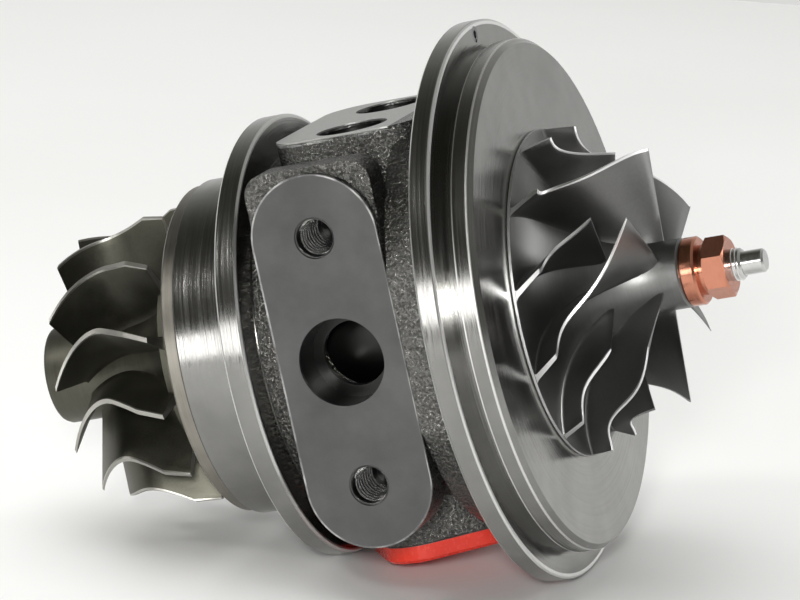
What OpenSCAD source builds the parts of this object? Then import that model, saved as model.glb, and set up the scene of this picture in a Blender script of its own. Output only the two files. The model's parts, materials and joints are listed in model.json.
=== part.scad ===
// Turbo cartridge: bearing housing, rotor, floating bearings and seals as separate sub-parts.
// Millimetres. X runs along the shaft towards the compressor end and Z is up.
// The origin lies on the shaft axis, in the front face of the compressor flange.

/* [Compressor flange] */
// Radius of the flange that the compressor cover clamps on
flange_r = 52; // [50:0.1:56]
// Thickness of that flange
flange_t = 3.8; // [3.2:0.1:5]
// Radius of the register that centres the compressor cover
register_r = 47.4; // [46:0.1:48]
// How far the register stands out from the flange
register_h = 6.4; // [6:0.1:8]
// Width of the undercut behind the register's land
undercut_w = 2.5; // [1.5:0.1:3]
// Depth of that undercut
undercut_d = 0.9; // [0.4:0.1:1.5]
// Chamfer on the register's front edge
register_chamfer = 1; // [0.5:0.1:1.5]
// Radius of the spring pin that sets the cover's angle
pin_r = 1.5; // [1:0.1:1.8]
// Radius of the circle that the pin stands on
pin_circle_r = 49.7; // [49.3:0.1:50]
// Length of the pin
pin_len = 3; // [2:0.1:3.1]

/* [Neck behind the flange] */
// Radius of the turned neck ring
neck_r = 40; // [38.5:0.1:42]
// Length of the neck ring
neck_len = 7.4; // [6:0.1:9]
// Radius at the bottom of the groove between neck and flange
neck_groove_r = 36.4; // [35:0.1:36.8]
// Width of that groove
neck_groove_w = 2.2; // [1.5:0.1:3]

/* [Cast body] */
// Radius of the cast core
core_r = 34; // [32:0.1:35]
// Length of the cast core between neck and turbine flange
core_len = 28.1; // [27:0.1:32]

/* [Turbine end] */
// Radius of the turbine flange
turbine_flange_r = 41.3; // [39:0.1:44]
// Thickness of the turbine flange
turbine_flange_t = 4.2; // [3:0.1:6]
// Radius of the spigot that centres the turbine housing
spigot_r = 31.6; // [29:0.1:34]
// Length of that spigot
spigot_len = 12.7; // [10:0.1:15]
// Radius of the nose that carries the turbine seal
nose_r = 12; // [11:0.1:14]
// How far the nose stands out from the spigot
nose_len = 2.6; // [2:0.1:4]

/* [Side coolant pads] */
// Distance of each milled pad face from the shaft axis
side_pad_y = 36.9; // [36.5:0.1:38]
// Width of a pad along the shaft
side_pad_w = 24; // [22:0.1:24]
// Height of a pad
side_pad_h = 69; // [64:0.1:72]
// Distance from the neck to the middle of the pad
side_pad_x = 11.8; // [11:0.1:11.9]
// Thickness of the pad's rim before it drops to the web behind it
side_pad_rim = 9; // [6:0.1:11]
// How far the web behind the rim is drawn in
side_pad_draw = 3; // [1:0.1:4]
// How far the cast shoulder above a pad lies behind its milled face
shoulder_drop = 1.8; // [1:0.1:3]
// Height of that shoulder above the shaft axis
shoulder_z = 35.5; // [35:0.1:37]
// Corner radius of that shoulder
shoulder_corner = 4; // [3:0.1:6]
// Distance between the two bolt holes
side_bolt_pitch = 45.8; // [42:0.1:48]
// Radius of a bolt hole before tapping
side_bolt_r = 3.4; // [2.5:0.1:3.8]
// Depth of a bolt hole
side_bolt_depth = 14; // [10:0.5:15]
// Radius of the coolant port
coolant_r = 8.05; // [6.5:0.05:9]
// Depth of the coolant port
coolant_depth = 8; // [6:0.1:8.5]
// Radius of the passage from the coolant port into the jacket
coolant_passage_r = 6; // [4:0.1:6.2]

/* [Top pad] */
// Height of the milled top face above the shaft axis
top_pad_z = 38.3; // [37.5:0.1:39]
// Length of the top pad along the shaft
top_pad_x = 28; // [27:0.1:29]
// Width of the top pad
top_pad_y = 40; // [38:0.1:44]
// Corner radius of the top pad
top_pad_corner = 7; // [3:0.1:9]
// How far the top pad reaches into the neck ring
top_pad_overlap = 4.4; // [3:0.1:5]
// Distance between the two top ports
top_port_pitch = 23; // [21:0.1:24]
// Radius of a top port
top_port_r = 6.6; // [5:0.1:7]
// Depth of a top port
top_port_depth = 9; // [6:0.1:10]
// Radius of the vent passage from the far top port into the jacket
vent_passage_r = 4; // [3:0.1:4.5]

/* [Drain] */
// Distance of the drain pad's face below the shaft axis
drain_pad_z = 39.5; // [38.5:0.1:41]
// Length of the drain pad and of its cap
drain_pad_l = 30; // [26:0.1:31]
// Width of the drain pad and of its cap
drain_pad_w = 27; // [24:0.1:28]
// Corner radius of the drain pad
drain_corner = 8; // [4:0.1:10]
// Angle of the drain pad against the shaft
drain_angle = 29; // [20:1:35]
// Distance from the neck to the drain's axis
drain_x = 10.6; // [10:0.1:11]
// Radius of the drain bore
drain_r = 8.5; // [7:0.1:9.5]
// Thickness of the drain cap
cap_t = 3.2; // [3:0.1:5.5]
// Rounded lower edge of the drain cap
cap_edge = 0.6; // [0.5:0.1:2]
// Length of the cap's plug in the bore
plug_len = 8; // [5:0.1:10]

/* [Shaft and bearings] */
// Radius of the shaft's journals
journal_r = 4.5; // [4:0.05:4.8]
// Radius of the shaft between the journals
waist_r = 4.1; // [3.6:0.05:4.2]
// Radius of the shaft through the compressor stack
stub_r = 2.9; // [2.6:0.05:3.2]
// Radius of the shaft's plain end
tail_r = 2.2; // [1.8:0.05:2.4]
// Length of the thread that stands out of the nut
thread_len = 2.4; // [1:0.1:4]
// Length of the plain end
tail_len = 4.1; // [2:0.1:6]
// Outer radius of a floating bearing
bearing_r = 7.45; // [7:0.05:7.8]
// Length of a floating bearing
bearing_len = 9; // [8:0.1:9.5]
// Distance between the two bearings, middle to middle
bearing_pitch = 23; // [22:0.1:24]
// Radius of a bearing's oil holes
oil_hole_r = 1.2; // [0.8:0.1:1.5]
// Radial clearance between a journal and its bearing
journal_clear = 0.03; // [0.02:0.005:0.06]
// Radial clearance between a bearing and the housing
bearing_clear = 0.05; // [0.03:0.005:0.08]
// End clearance of a bearing between its snap rings
bearing_play = 0.1; // [0.05:0.01:0.2]
// Thickness of a bearing snap ring
ring_t = 1.05; // [0.8:0.05:1.2]
// Radial height of a bearing snap ring
ring_h = 1.6; // [1.2:0.1:1.8]
// Depth of the groove that holds a bearing snap ring
ring_groove_d = 0.8; // [0.6:0.05:1]

/* [Thrust stack] */
// Thickness of the thrust bearing
thrust_t = 4; // [3:0.1:4.5]
// Outer radius of the thrust bearing
thrust_r = 15; // [14:0.1:17]
// Radius of the thrust faces that run on it
thrust_face_r = 9.5; // [8.5:0.1:10]
// Axial clearance at each thrust face
thrust_film = 0.05; // [0.03:0.01:0.1]
// Thickness of the thrust ring on the shaft's shoulder
thrust_ring_t = 2; // [1.5:0.1:2.5]
// Outer radius of the sleeve inside the thrust bearing
spacer_r = 5.5; // [5:0.1:6]
// Thickness of the oil deflector plate
deflector_t = 1; // [0.8:0.1:1.4]
// Thickness of the sleeve's thrust collar
collar_t = 1.8; // [1.4:0.1:2]
// Outer radius of the oil flinger on the sleeve
flinger_r = 11.5; // [11:0.1:12]
// Thickness of the oil flinger
flinger_t = 1.6; // [1:0.1:1.8]

/* [Seal plate] */
// Radius of the seal plate
plate_r = 24; // [22:0.1:26]
// Thickness of the seal plate
plate_t = 7.6; // [7:0.1:8]
// Depth of the flinger chamber in the plate's back
plate_chamber = 4; // [3.6:0.1:4.4]
// Radius of the sleeve's seal hub
seal_hub_r = 6.5; // [6.2:0.05:7]
// Thickness of the snap ring that holds the plate
plate_ring_t = 1.4; // [1.2:0.05:1.6]
// Depth of that snap ring's groove
plate_ring_d = 1.35; // [1:0.05:1.6]
// Housing left in front of that snap ring
plate_ring_land = 1.35; // [1:0.05:1.6]
// Radius of the O-ring's cord
o_ring_r = 0.86; // [0.7:0.02:1]

/* [Piston rings] */
// Width of a piston ring
piston_ring_w = 1.5; // [1.2:0.05:1.6]
// Radial height of a piston ring
piston_ring_h = 1.3; // [1:0.05:1.4]
// Radius of the shaft's turbine seal hub
turbine_hub_r = 8; // [7.6:0.05:8.4]
// Radial gap between a seal hub and its bore
seal_gap = 0.25; // [0.2:0.01:0.3]

/* [Compressor wheel] */
// Radius of the wheel's back disc
wheel_r = 30.3; // [29:0.1:31]
// Gap between the back disc and the housing's front face
wheel_gap = 0.3; // [0.25:0.05:0.6]
// Thickness of the back disc at its rim
wheel_rim_t = 0.4; // [0.4:0.05:0.8]
// Radius of the inlet at the blades' leading edges
inlet_r = 23.4; // [22:0.1:25]
// Width of the blades at the outlet
outlet_w = 5; // [3.5:0.1:5.5]
// Length of the blades along the shaft
blade_len = 19.6; // [18:0.1:21]
// Radius of the hub's nose
wheel_nose_r = 6.4; // [6:0.1:7]
// Length of the hub's nose in front of the blades
wheel_nose_len = 3.6; // [2.5:0.1:5]
// Number of full blades, with one splitter between each two
full_blades = 6; // [5:1:7]
// Share of a full blade's length that a splitter has
splitter_share = 0.7; // [0.6:0.01:0.8]
// Lean of a blade's outlet edge between its tip and its root, in degrees
wheel_rake = 7.6; // [5:0.1:10]
// Blade thickness at the hub
wheel_root_t = 1.3; // [1:0.05:1.6]
// Blade thickness at the tip
wheel_tip_t = 0.8; // [0.6:0.05:1]

/* [Lock nut] */
// Radius of the nut's flange
nut_flange_r = 6.3; // [5.8:0.1:6.6]
// Thickness of the nut's flange
nut_flange_t = 2.9; // [2:0.1:3.5]
// Length of the groove behind the hexagon
nut_neck_len = 1.1; // [0.6:0.1:1.5]
// Radius of that groove
nut_neck_r = 4.6; // [4.2:0.1:4.9]
// Width across the hexagon's flats
nut_af = 10; // [9.9:0.1:11]
// Length of the hexagon
nut_hex_len = 4.3; // [3:0.1:5]

/* [Turbine wheel] */
// Radius of the turbine wheel at its inlet
turbine_r = 28; // [26:0.1:29]
// Radius of the turbine wheel at its outlet
exducer_r = 24.7; // [23:0.1:25.5]
// Length of the turbine blades along the shaft
turbine_len = 21.2; // [20:0.1:23]
// Width of the turbine's inlet
inducer_w = 5; // [4:0.1:6]
// Radius of the disc behind the blades
turbine_disc_r = 20; // [18:0.1:22]
// Thickness of that disc at its rim
turbine_disc_t = 1.4; // [1:0.1:2]
// Radius of the boss at the end of the wheel
boss_r = 9.3; // [8.5:0.1:10]
// Length of the boss beyond the blades
boss_len = 8.8; // [7:0.1:10]
// Number of turbine blades
turbine_blades = 12; // [10:1:12]
// Blade thickness at the hub
turbine_root_t = 2; // [1.6:0.05:2.4]
// Blade thickness at the tip
turbine_tip_t = 1.1; // [0.9:0.05:1.4]
// Gap between the housing's nose and the shaft's weld
weld_gap = 2; // [1.5:0.1:3]
// Length of the wheel's collar at the weld
weld_len = 2; // [1.5:0.1:3]

/* [Heat shield] */
// Thickness of the pressed sheet
shield_t = 0.9; // [0.7:0.05:1.2]
// How far the shield's rim stays inside the spigot
shield_inset = 0.8; // [0.6:0.05:1.2]

/* [Hidden] */

$fn = 96;
// Clearances shared by many fits
slip = 0.02;
seat = 0.05;
edge = 0.4;
over = 1;

// Stations along the shaft, from the compressor flange towards the turbine
front_x = register_h;
groove_x = -flange_t;
neck_front_x = groove_x - neck_groove_w;
neck_x = neck_front_x - neck_len;
core_x = neck_x - core_len;
turbine_flange_x = core_x - turbine_flange_t;
spigot_x = turbine_flange_x - spigot_len;
nose_x = spigot_x - nose_len;
pad_x = neck_x - side_pad_x;
top_x = neck_x + top_pad_overlap - top_pad_x / 2;
drain_bore_x = neck_x - drain_x;

// Stations inside the compressor end
plate_front_x = front_x - plate_ring_land - plate_ring_t - seat;
plate_back_x = plate_front_x - plate_t;
deflector_x = plate_back_x - deflector_t;
thrust_x = deflector_x - thrust_t;
shoulder_x = thrust_x - thrust_ring_t;
chamber_x = shoulder_x - 2 * over;
collar_front_x = deflector_x + collar_t;
flinger_front_x = collar_front_x + flinger_t;
plate_bore_x = plate_back_x + plate_chamber;
wheel_disc_x = front_x + wheel_gap;
wheel_boss_h = 0.4;
wheel_seat_x = wheel_disc_x - wheel_boss_h;

// Stations of the two floating bearings and their snap rings
ring_land = 0.85;
bearing_bore_r = bearing_r + bearing_clear;
compressor_bearing_x = chamber_x - ring_land - ring_t - bearing_play - bearing_len / 2;
turbine_bearing_x = compressor_bearing_x - bearing_pitch;
ring_offset = bearing_len / 2 + bearing_play + ring_t / 2;
ring_groove_r = bearing_bore_r + ring_groove_d;
bore_end_land = 1.35;
bore_end_x = turbine_bearing_x - ring_offset - ring_t / 2 - bore_end_land;
oil_groove_w = 2.5;
oil_groove_x = bore_end_x - oil_groove_w;
hub_relief = 0.3;
turbine_hub_x = oil_groove_x - hub_relief;
turbine_bore_r = turbine_hub_r + seal_gap;
plate_bore_r = seal_hub_r + seal_gap;
turbine_ring_x = (oil_groove_x + nose_x) / 2;
compressor_ring_x = (plate_bore_x + plate_front_x) / 2 + 2 * seat;
stack_r = stub_r + slip;

// Stations of the two wheels
blade_back_x = wheel_disc_x + wheel_rim_t;
blade_front_x = blade_back_x + blade_len;
wheel_front_x = blade_front_x + wheel_nose_len;
nut_neck_x = wheel_front_x + nut_flange_t;
nut_hex_x = nut_neck_x + nut_neck_len;
nut_front_x = nut_hex_x + nut_hex_len;
thread_end_x = nut_front_x + thread_len;
tail_x = thread_end_x + tail_len;
weld_x = nose_x - weld_gap;
turbine_back_x = weld_x - weld_len;
exducer_x = turbine_back_x - turbine_len;
boss_x = exducer_x - boss_len;

// Inner passages of the casting
tunnel_wall = 3.5;
tunnel_r = bearing_bore_r + tunnel_wall;
oil_window_r = 3.5;
oil_cavity_r = 18;
jacket_wall = 3;
jacket_inner_r = oil_cavity_r + jacket_wall;
jacket_outer_r = core_r - 2 * jacket_wall;
jacket_len = 20;
gallery_r = 1.1;
gallery_z = bearing_bore_r + 2 * over;
feed_r = 2;
feed_wall = 3;

// Gaps of the split rings and of the pin, in degrees
bearing_ring_gap = 40;
plate_ring_gap = 24;
piston_ring_gap = 5;
pin_slot = 30;

// Blade grids: steps along the flow and steps from hub to tip
flow_steps = 12;
splitter_steps = 8;
span_steps = 3;
root_sink = 0.6;
rim_inset = 0.2;
blade_start = 0.3;
// Angle of the first full blade's outlet and of the first turbine blade, from -Y towards +Z
full_angle = 47.9;
turbine_angle = 16.5;

function mix(a, b, t) = a + (b - a) * t;

// A point at radius r and angle a about the shaft, with a measured from -Y towards +Z
function about_shaft(x, r, a) = [x, -r * cos(a), r * sin(a)];

// A quarter of an ellipse that leaves its first point radially and reaches its last point axially
function meridian(x0, r0, x1, r1, s) =
    [mix(x0, x1, 1 - cos(90 * s)), mix(r0, r1, sin(90 * s))];

// Angle of a compressor blade along its share s of length, swept at the outlet and again at the inlet
function wheel_sweep(s) = 30.9 * s + 4.8 * s * s - 47.2 * pow(s, 3) + 61.9 * pow(s, 4);
// Angle of a turbine blade at distance d from its back, since its fibres are radial
function turbine_wrap(d) = 0.8 * d - 0.24 * pow(max(0, d - 10), 2);

function wheel_root(s) =
    meridian(blade_back_x - wheel_rim_t / 2, wheel_r - rim_inset, blade_front_x, wheel_nose_r - root_sink, s);
function wheel_tip(s) =
    [mix(blade_back_x + outlet_w, blade_front_x, 1 - cos(90 * s)),
     mix(wheel_r - rim_inset, inlet_r, sqrt(sin(90 * s)))];

function turbine_hub(d) =
    let (left = 1 - max(0, d - turbine_disc_t) / (turbine_len - turbine_disc_t))
    mix(turbine_disc_r, boss_r, sqrt(1 - left * left));
function turbine_tip(d) =
    mix(turbine_r, exducer_r, sin(90 * min(1, max(0, (d - inducer_w) / (turbine_len / 2)))));

function wheel_point(s, v, side) =
    let (m = mix(wheel_root(s), wheel_tip(s), v))
    let (t = mix(wheel_root_t, wheel_tip_t, v))
    let (lean = wheel_rake * (1 - v) * pow(1 - s, 2))
    about_shaft(m[0], m[1], wheel_sweep(s) - lean + side * t / m[1] * 90 / PI);

function turbine_point(s, v, side) =
    let (d = mix(blade_start, turbine_len, s))
    let (r = mix(turbine_hub(d) - root_sink, turbine_tip(d), v))
    let (t = mix(turbine_root_t, turbine_tip_t, v))
    about_shaft(turbine_back_x - d, r, turbine_wrap(d) + side * t / r * 90 / PI);

// A thin blade closed round two grids of points, the first on its one face and the second on the other
module blade(points, rows, cols, flip) {
    n = (rows + 1) * (cols + 1);
    function at(side, i, j) = side * n + i * (cols + 1) + j;
    function quad(a, b, c, d) = flip ? [[a, c, b], [a, d, c]] : [[a, b, c], [a, c, d]];
    faces = concat(
        [for (i = [0:rows - 1], j = [0:cols - 1])
            each quad(at(0, i, j), at(0, i + 1, j), at(0, i + 1, j + 1), at(0, i, j + 1))],
        [for (i = [0:rows - 1], j = [0:cols - 1])
            each quad(at(1, i, j), at(1, i, j + 1), at(1, i + 1, j + 1), at(1, i + 1, j))],
        [for (i = [0:rows - 1], j = [0, cols])
            each j == 0
                ? quad(at(0, i, j), at(1, i, j), at(1, i + 1, j), at(0, i + 1, j))
                : quad(at(0, i, j), at(0, i + 1, j), at(1, i + 1, j), at(1, i, j))],
        [for (j = [0:cols - 1], i = [0, rows])
            each i == 0
                ? quad(at(0, i, j), at(0, i, j + 1), at(1, i, j + 1), at(1, i, j))
                : quad(at(0, i, j), at(1, i, j), at(1, i, j + 1), at(0, i, j + 1))]);
    polyhedron(points = points, faces = faces, convexity = 6);
}

module wheel_blade(share, steps) {
    points = [for (side = [-1, 1], i = [0:steps], j = [0:span_steps])
        wheel_point(share * i / steps, j / span_steps, side)];
    blade(points, steps, span_steps, true);
}

module turbine_blade() {
    points = [for (side = [-1, 1], i = [0:flow_steps], j = [0:span_steps])
        turbine_point(i / flow_steps, j / span_steps, side)];
    blade(points, flow_steps, span_steps, false);
}

// Turns a piece about the shaft, with a measured from -Y towards +Z
module turn(a) rotate([-a, 0, 0]) children();

// A turned piece: points are [x, r] pairs
module turned(points) rotate([0, 90, 0]) rotate_extrude() polygon([for (p = points) [p[1], p[0]]]);

// A straight round bar along the shaft, from x0 to x1
module bar(x0, x1, r) translate([x0, 0, 0]) rotate([0, 90, 0]) cylinder(r = r, h = x1 - x0);

// A split ring about the shaft, with its gap at the bottom
module split_ring(x0, x1, inner, outer, gap) {
    rotate([0, 90, 0])
        rotate([0, 0, gap / 2])
            rotate_extrude(angle = 360 - gap)
                translate([inner, x0])
                    square([outer - inner, x1 - x0]);
}

module rounded_rectangle(l, w, r) {
    square([l - 2 * r, w], center = true);
    square([l, w - 2 * r], center = true);
    for (i = [-1, 1], j = [-1, 1])
        translate([i * (l / 2 - r), j * (w / 2 - r)]) circle(r = r);
}

// Outline of a side pad, drawn in by a given amount
module side_pad_outline(draw) {
    r = side_pad_w / 2 - draw;
    straight = side_pad_h - side_pad_w;
    square([2 * r, straight], center = true);
    for (j = [-1, 1]) translate([0, j * straight / 2]) circle(r = r);
}

// Extrudes an outline drawn in X and Z from the middle plane out to one side
module sideways(side, from, to) {
    h = to - from;
    translate([pad_x, side < 0 ? -from : to, 0]) rotate([90, 0, 0]) linear_extrude(h) children();
}

module housing_castings() {
    turned([
        [nose_x, 0], [nose_x, nose_r - edge], [nose_x + edge, nose_r], [spigot_x, nose_r],
        [spigot_x, spigot_r - edge], [spigot_x + edge, spigot_r], [turbine_flange_x, spigot_r],
        [turbine_flange_x, turbine_flange_r - edge], [turbine_flange_x + edge, turbine_flange_r],
        [core_x - edge, turbine_flange_r], [core_x, turbine_flange_r - edge], [core_x, core_r],
        [neck_x, core_r], [neck_x, neck_r - edge], [neck_x + edge, neck_r],
        [neck_front_x - edge, neck_r], [neck_front_x, neck_r - edge], [neck_front_x, neck_groove_r],
        [groove_x, neck_groove_r], [groove_x, flange_r - edge], [groove_x + edge, flange_r],
        [-edge, flange_r], [0, flange_r - edge], [0, register_r - undercut_d],
        [undercut_w, register_r - undercut_d], [undercut_w, register_r],
        [front_x - register_chamfer, register_r], [front_x, register_r - register_chamfer], [front_x, 0]]);
    for (side = [-1, 1]) {
        sideways(side, side_pad_y - side_pad_rim, side_pad_y) side_pad_outline(0);
        sideways(side, 0, side_pad_y - side_pad_rim) side_pad_outline(side_pad_draw);
        sideways(side, side_pad_y - side_pad_rim, side_pad_y - shoulder_drop)
            translate([0, shoulder_z / 2]) rounded_rectangle(side_pad_w, shoulder_z, shoulder_corner);
    }
    translate([top_x, 0, 0]) linear_extrude(top_pad_z)
        rounded_rectangle(top_pad_x, top_pad_y, top_pad_corner);
    translate([drain_bore_x, 0, -drain_pad_z]) rotate([0, 0, drain_angle]) linear_extrude(drain_pad_z)
        rounded_rectangle(drain_pad_l, drain_pad_w, drain_corner);
}

// The milled planes of the pads run out into the neck ring
module milled_planes() {
    for (side = [-1, 1])
        translate([neck_x - over, side * (side_pad_y + neck_r / 2) - neck_r / 2, -neck_r])
            cube([neck_len + over + neck_groove_w / 2, neck_r, 2 * neck_r]);
    translate([neck_x - over, -top_pad_y / 2, top_pad_z])
        cube([top_pad_overlap + over, top_pad_y, neck_r]);
    translate([neck_x - over, -neck_r / 2, -drain_pad_z - neck_r])
        cube([neck_len + over + neck_groove_w / 2, neck_r, neck_r]);
}

// Turned bores from the compressor end to the turbine seal
module housing_bores() {
    plate_bore = plate_r + seat;
    turned([
        [nose_x - over, 0], [nose_x - over, turbine_bore_r], [oil_groove_x, turbine_bore_r],
        [oil_groove_x, tunnel_r], [bore_end_x, tunnel_r], [bore_end_x, bearing_bore_r],
        [chamber_x, bearing_bore_r], [chamber_x, thrust_r - 2 * over], [thrust_x, thrust_r - 2 * over],
        [thrust_x, thrust_r + seat], [plate_back_x, thrust_r + seat], [plate_back_x, plate_bore],
        [plate_front_x - seat, plate_bore], [plate_front_x - seat, plate_bore + plate_ring_d],
        [plate_front_x + plate_ring_t + seat, plate_bore + plate_ring_d],
        [plate_front_x + plate_ring_t + seat, plate_bore],
        [front_x + over, plate_bore], [front_x + over, 0]]);
    half = ring_t / 2 + seat;
    for (x = [turbine_bearing_x, compressor_bearing_x], side = [-1, 1])
        bar(x + side * ring_offset - half, x + side * ring_offset + half, ring_groove_r);
}

// Oil falls from the bearings into a cavity under their tunnel and leaves through the drain
module oil_passages() {
    difference() {
        bar(oil_groove_x, thrust_x, oil_cavity_r);
        bar(oil_groove_x - over, thrust_x + over, tunnel_r);
        translate([oil_groove_x - over, -core_r, -2 * over]) cube([2 * core_len, 2 * core_r, core_r]);
    }
    bar(oil_groove_x, bore_end_x, tunnel_r);
    translate([drain_bore_x, 0, -drain_pad_z - over])
        cylinder(r = drain_r, h = drain_pad_z - over - tunnel_r);
    middle_x = (turbine_bearing_x + compressor_bearing_x) / 2;
    translate([middle_x, 0, -tunnel_r - over]) cylinder(r = oil_window_r, h = tunnel_r + over);
}

// A drill along the line from the near top port to the gallery above both bearings
module oil_drill(r) {
    port_y = top_port_pitch / 2;
    bottom_z = top_pad_z - top_port_depth;
    length = norm([port_y, bottom_z - gallery_z]);
    translate([top_x, -port_y, bottom_z])
        rotate([atan2(-port_y, gallery_z - bottom_z), 0, 0])
            cylinder(r = r, h = length);
}

module top_port(side) {
    translate([top_x, side * top_port_pitch / 2, top_pad_z - top_port_depth])
        cylinder(r = top_port_r, h = top_port_depth + over);
}

module oil_feed() {
    oil_drill(feed_r);
    top_port(-1);
    translate([0, 0, gallery_z]) bar(turbine_bearing_x, compressor_bearing_x, gallery_r);
    for (x = [turbine_bearing_x, compressor_bearing_x])
        translate([x, 0, bearing_bore_r - over])
            cylinder(r = oil_hole_r, h = gallery_z - bearing_bore_r + over);
}

// The coolant jacket arches over the bearings between the two side ports and vents at the far top port
module coolant_passages() {
    difference() {
        bar(pad_x - jacket_len / 2, pad_x + jacket_len / 2, jacket_outer_r);
        bar(pad_x - jacket_len, pad_x + jacket_len, jacket_inner_r);
        translate([pad_x - jacket_len, -core_r, -2 * core_r - coolant_r])
            cube([2 * jacket_len, 2 * core_r, 2 * core_r]);
        oil_drill(feed_r + feed_wall);
    }
    for (side = [-1, 1]) {
        sideways(side, side_pad_y - coolant_depth, side_pad_y + over) circle(r = coolant_r);
        sideways(side, jacket_inner_r + over, side_pad_y) circle(r = coolant_passage_r);
    }
    top_port(1);
    translate([top_x, top_port_pitch / 2, jacket_inner_r])
        cylinder(r = vent_passage_r, h = top_pad_z - jacket_inner_r);
}

module side_bolt_holes() {
    for (side = [-1, 1], end = [-1, 1]) {
        sideways(side, side_pad_y - side_bolt_depth, side_pad_y + over)
            translate([0, end * side_bolt_pitch / 2]) circle(r = side_bolt_r);
        translate([pad_x, side * (side_pad_y + slip), end * side_bolt_pitch / 2])
            rotate([side * 90, 0, 0]) cylinder(r1 = side_bolt_r + edge, r2 = side_bolt_r, h = edge);
    }
}

module bearing_housing() {
    color([0.42, 0.42, 0.41]) difference() {
        housing_castings();
        milled_planes();
        housing_bores();
        oil_passages();
        oil_feed();
        coolant_passages();
        side_bolt_holes();
        translate([0, 0, pin_circle_r]) bar(-pin_len, over, pin_r + slip);
    }
}

// A pressed dish that rests on the spigot's end and round the nose
module heat_shield() {
    rim_r = spigot_r - shield_inset;
    hole_r = nose_r + seat;
    color([0.40, 0.39, 0.37]) turned([
        [nose_x, hole_r], [nose_x, rim_r - edge], [nose_x + edge, rim_r], [spigot_x, rim_r],
        [spigot_x, rim_r - shield_t], [nose_x + shield_t, rim_r - shield_t], [nose_x + shield_t, hole_r]]);
}

// A spring pin: a rolled tube with a slot
module locating_pin() {
    color([0.75, 0.75, 0.73]) translate([0, 0, pin_circle_r])
        split_ring(-pin_len, 0, pin_r / 2, pin_r, pin_slot);
}

module drain_cap() {
    color([0.85, 0.20, 0.15]) translate([drain_bore_x, 0, -drain_pad_z]) {
        hull() {
            rotate([0, 0, drain_angle]) translate([0, 0, cap_edge - cap_t]) linear_extrude(cap_t - cap_edge)
                rounded_rectangle(drain_pad_l, drain_pad_w, drain_corner, $fn = 32);
            rotate([0, 0, drain_angle]) translate([0, 0, -cap_t]) linear_extrude(cap_edge)
                rounded_rectangle(drain_pad_l - 2 * cap_edge, drain_pad_w - 2 * cap_edge,
                                  drain_corner - cap_edge, $fn = 32);
        }
        translate([0, 0, -cap_edge]) cylinder(r = drain_r - slip, h = plug_len + cap_edge);
    }
}

module bearing_ring(x) {
    color([0.35, 0.35, 0.36])
        split_ring(x - ring_t / 2, x + ring_t / 2, ring_groove_r - slip - ring_h, ring_groove_r - slip,
                   bearing_ring_gap);
}
module turbine_ring_outer() bearing_ring(turbine_bearing_x - ring_offset);
module turbine_ring_inner() bearing_ring(turbine_bearing_x + ring_offset);
module compressor_ring_inner() bearing_ring(compressor_bearing_x - ring_offset);
module compressor_ring_outer() bearing_ring(compressor_bearing_x + ring_offset);

// A bronze plate with relieved faces, so that the thrust faces run on a film of oil
module thrust_bearing() {
    bore_r = spacer_r + seat;
    pad_r = thrust_face_r + edge;
    color([0.72, 0.52, 0.30]) difference() {
        turned([
            [thrust_x + thrust_film, bore_r], [thrust_x + thrust_film, pad_r], [thrust_x, pad_r],
            [thrust_x, thrust_r], [deflector_x, thrust_r], [deflector_x, pad_r],
            [deflector_x - thrust_film, pad_r], [deflector_x - thrust_film, bore_r]]);
        for (a = [45:90:315], x = [thrust_x, deflector_x])
            turn(a) translate([x - edge, -pad_r, -edge]) cube([2 * edge, pad_r, 2 * edge]);
    }
}

module oil_deflector() {
    color([0.62, 0.62, 0.60]) difference() {
        turned([
            [deflector_x, thrust_face_r + 2 * edge], [deflector_x, thrust_r],
            [plate_back_x, thrust_r], [plate_back_x, thrust_face_r + 2 * edge]]);
        translate([deflector_x - over, -thrust_r / 3, -thrust_r - over])
            cube([deflector_t + 2 * over, thrust_r * 2 / 3, thrust_r - thrust_face_r]);
    }
}

module seal_plate() {
    groove_half = o_ring_r + 4 * seat;
    ring_x = o_ring_x();
    bottom_r = plate_r + seat - 2 * o_ring_r - 2 * slip;
    chamber_r = flinger_r + over;
    color([0.60, 0.60, 0.58]) turned([
        [plate_back_x, chamber_r], [plate_back_x, plate_r], [ring_x - groove_half, plate_r],
        [ring_x - groove_half, bottom_r], [ring_x + groove_half, bottom_r],
        [ring_x + groove_half, plate_r], [plate_front_x, plate_r], [plate_front_x, plate_bore_r],
        [plate_bore_x, plate_bore_r], [plate_bore_x, chamber_r]]);
}

function o_ring_x() = (plate_back_x + plate_front_x) / 2;

module seal_plate_o_ring() {
    color([0.08, 0.08, 0.08]) rotate([0, 90, 0]) rotate_extrude()
        translate([plate_r + seat - slip - o_ring_r, o_ring_x()]) circle(r = o_ring_r);
}

module seal_plate_snap_ring() {
    outer = plate_r + seat + plate_ring_d - slip;
    color([0.30, 0.30, 0.31])
        split_ring(plate_front_x, plate_front_x + plate_ring_t, outer - 2 * plate_ring_d, outer,
                   plate_ring_gap);
}

module piston_ring(x, bore_r) {
    color([0.45, 0.45, 0.44])
        split_ring(x - piston_ring_w / 2, x + piston_ring_w / 2, bore_r - slip - piston_ring_h, bore_r - slip,
                   piston_ring_gap);
}
module turbine_piston_ring() piston_ring(turbine_ring_x, turbine_bore_r);
module compressor_piston_ring() piston_ring(compressor_ring_x, plate_bore_r);

// Points of a piston ring's groove in a turned profile, from low x to high x
function ring_groove(x, hub_r, bore_r) =
    let (half = piston_ring_w / 2 + seat)
    let (bottom_r = bore_r - slip - piston_ring_h - 5 * seat)
    [[x - half, hub_r], [x - half, bottom_r], [x + half, bottom_r], [x + half, hub_r]];

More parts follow.
